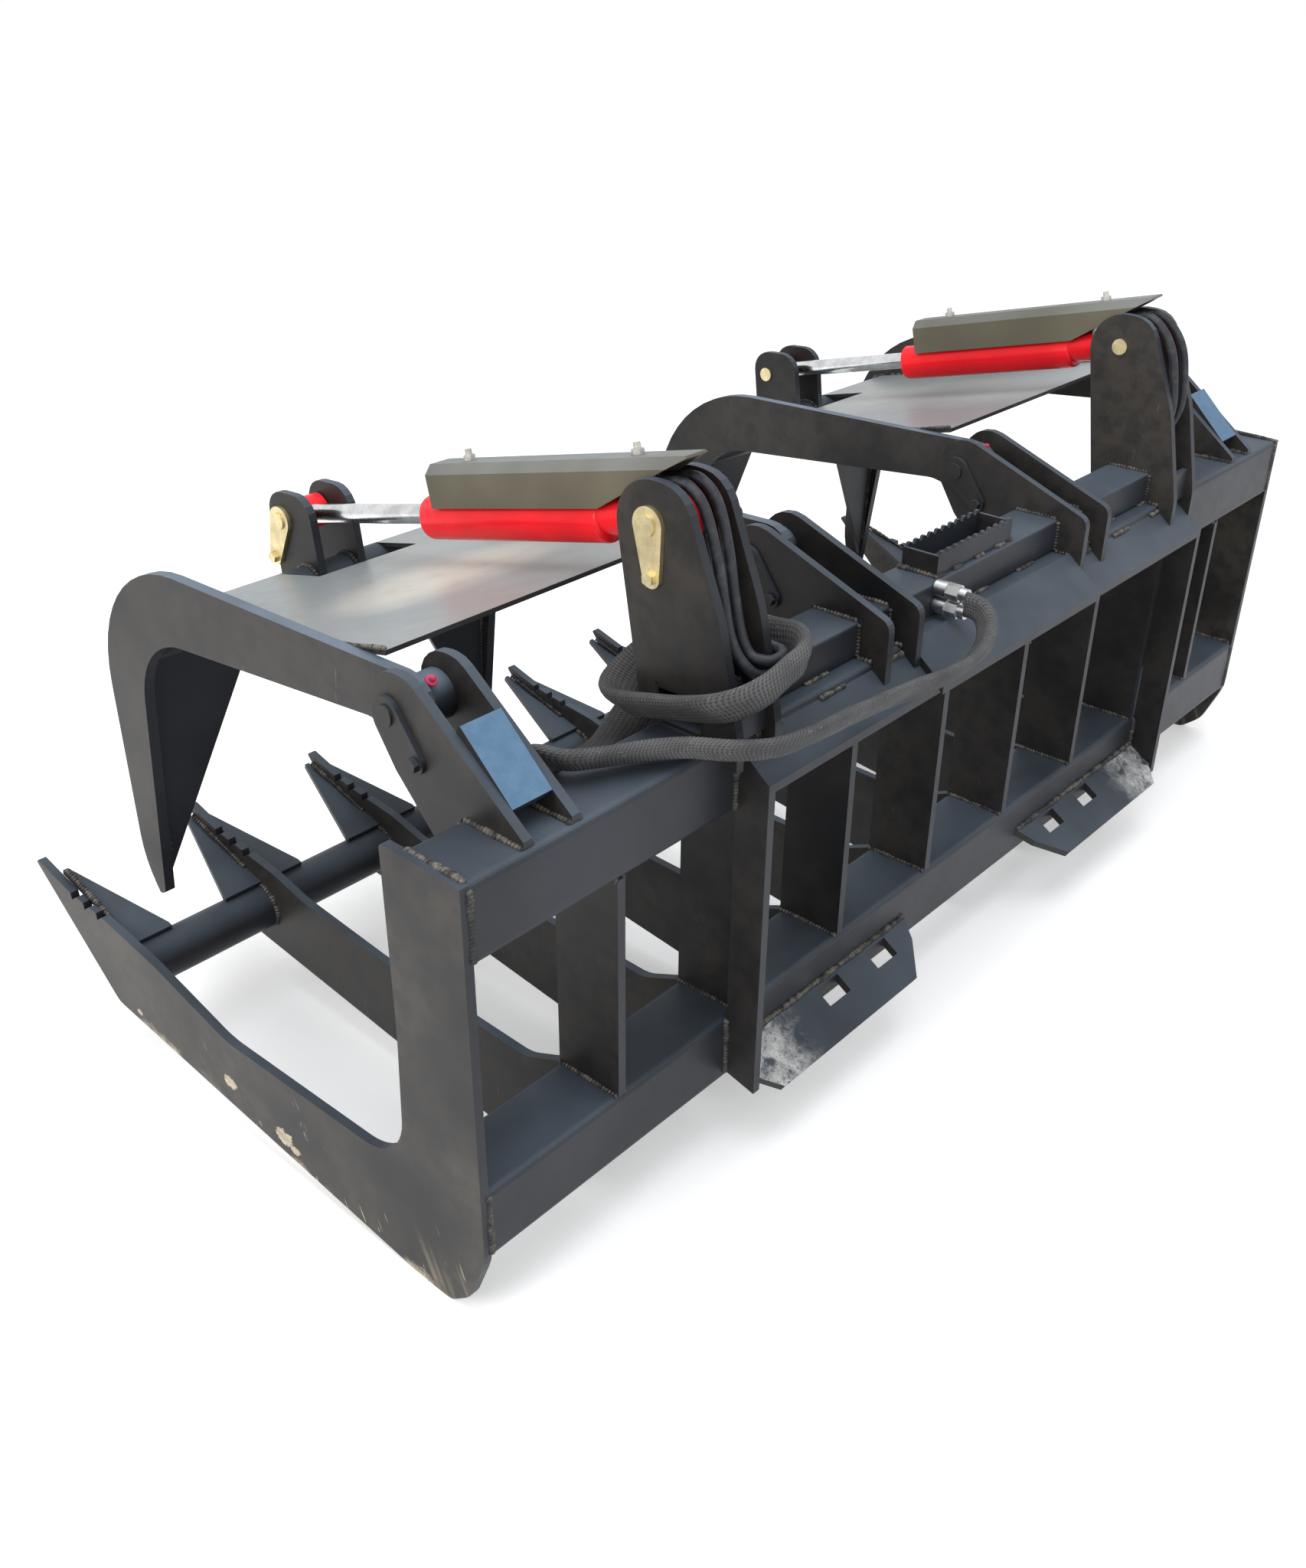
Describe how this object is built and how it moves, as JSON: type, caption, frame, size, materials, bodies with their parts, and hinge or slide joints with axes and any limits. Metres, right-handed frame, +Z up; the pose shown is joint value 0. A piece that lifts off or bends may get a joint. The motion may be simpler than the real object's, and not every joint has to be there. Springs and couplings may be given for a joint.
{
  "type": "root grapple",
  "caption": "Root grapple for a skid steer: welded tine bucket, hydraulic clamps with claws, serrated step, quick-attach back.",
  "frame": {"origin": "centre of the footprint on the ground the tine heels stand on, without the free hose sleeve", "axes": "+X along the grapple towards the end shown nearest, +Y back to the loader, +Z up"},
  "size_m": [2.0702, 1.0624, 0.9521],
  "materials": {
    "black_paint": "semi-gloss black paint, dusty",
    "sheet_paint": "black paint under dust, greyer than the rest",
    "red_paint": "gloss red paint",
    "chrome_rod": "hard chrome",
    "yellow_zinc": "yellow zinc plate on steel",
    "zinc_steel": "bright zinc plate",
    "hose_rubber": "black hose cover",
    "sleeve_fabric": "woven black nylon sleeve"
  },
  "bodies": {
    "frame": {"near_end_plate": "black_paint", "far_end_plate": "black_paint", "tine_1": "black_paint", "tine_2": "black_paint", "tine_3": "black_paint", "tine_4": "black_paint", "tine_5": "black_paint", "tine_6": "black_paint", "tine_7": "black_paint", "tine_8": "black_paint", "tip_wings": "black_paint", "uprights": "black_paint", "front_pipe": "black_paint", "lower_tube": "black_paint", "upper_tube": "black_paint", "top_rail": "black_paint", "step": "black_paint", "near_side_plate": "black_paint", "far_side_plate": "black_paint", "top_lip": "black_paint", "lip_cover": "black_paint", "near_foot": "black_paint", "far_foot": "black_paint", "near_brackets": "black_paint", "far_brackets": "black_paint", "near_tower": "black_paint", "far_tower": "black_paint", "near_pivot_pins": "black_paint", "far_pivot_pins": "black_paint", "near_tower_pin": "yellow_zinc", "far_tower_pin": "yellow_zinc", "near_hoses": "hose_rubber", "far_hoses": "hose_rubber", "sleeve": "sleeve_fabric", "couplers": "zinc_steel"},
    "near_clamp": {"near_outer_arm": "black_paint", "near_inner_arm": "black_paint", "near_claw_wings": "black_paint", "near_sheet": "sheet_paint", "near_cross_tube": "black_paint", "near_rod_ears": "black_paint", "near_rod_pin": "yellow_zinc"},
    "near_rod_group": {"near_rod": "chrome_rod", "near_rod_eye": "red_paint"},
    "near_cylinder": {"near_barrel": "red_paint", "near_guard": "black_paint", "near_fittings": "zinc_steel"},
    "far_clamp": {"far_outer_arm": "black_paint", "far_inner_arm": "black_paint", "far_claw_wings": "black_paint", "far_sheet": "sheet_paint", "far_cross_tube": "black_paint", "far_rod_ears": "black_paint", "far_rod_pin": "yellow_zinc"},
    "far_rod_group": {"far_rod": "chrome_rod", "far_rod_eye": "red_paint"},
    "far_cylinder": {"far_barrel": "red_paint", "far_guard": "black_paint", "far_fittings": "zinc_steel"}
  },
  "joints": [
    {"name": "near_clamp_hinge", "type": "hinge", "parent": "frame", "child": "near_clamp", "pos_m": [0.588, 0.2435, 0.717], "axis": [-1, 0, 0], "range_deg": [0, 60]},
    {"name": "near_rod_hinge", "type": "hinge", "parent": "near_clamp", "child": "near_rod_group", "pos_m": [0.588, -0.3785, 0.703], "axis": [1, 0, 0], "range_deg": [0, 6.3]},
    {"name": "near_cylinder_slide", "type": "slide", "parent": "near_rod_group", "child": "near_cylinder", "axis": [0, -0.9732, -0.2298], "range_m": [0, 0.171], "deforming": ["near_hoses"]},
    {"name": "far_clamp_hinge", "type": "hinge", "parent": "frame", "child": "far_clamp", "pos_m": [-0.563, 0.2435, 0.717], "axis": [-1, 0, 0], "range_deg": [0, 60]},
    {"name": "far_rod_hinge", "type": "hinge", "parent": "far_clamp", "child": "far_rod_group", "pos_m": [-0.563, -0.3785, 0.703], "axis": [1, 0, 0], "range_deg": [0, 6.3]},
    {"name": "far_cylinder_slide", "type": "slide", "parent": "far_rod_group", "child": "far_cylinder", "axis": [0, -0.9732, -0.2298], "range_m": [0, 0.171], "deforming": ["far_hoses"]}
  ],
  "couplings": [
    {"joint": "near_rod_hinge", "follows": "near_clamp_hinge", "ratio": 0.104},
    {"joint": "near_cylinder_slide", "follows": "near_clamp_hinge", "m_per_rad": 0.162},
    {"joint": "far_rod_hinge", "follows": "far_clamp_hinge", "ratio": 0.104},
    {"joint": "far_cylinder_slide", "follows": "far_clamp_hinge", "m_per_rad": 0.162}
  ]
}
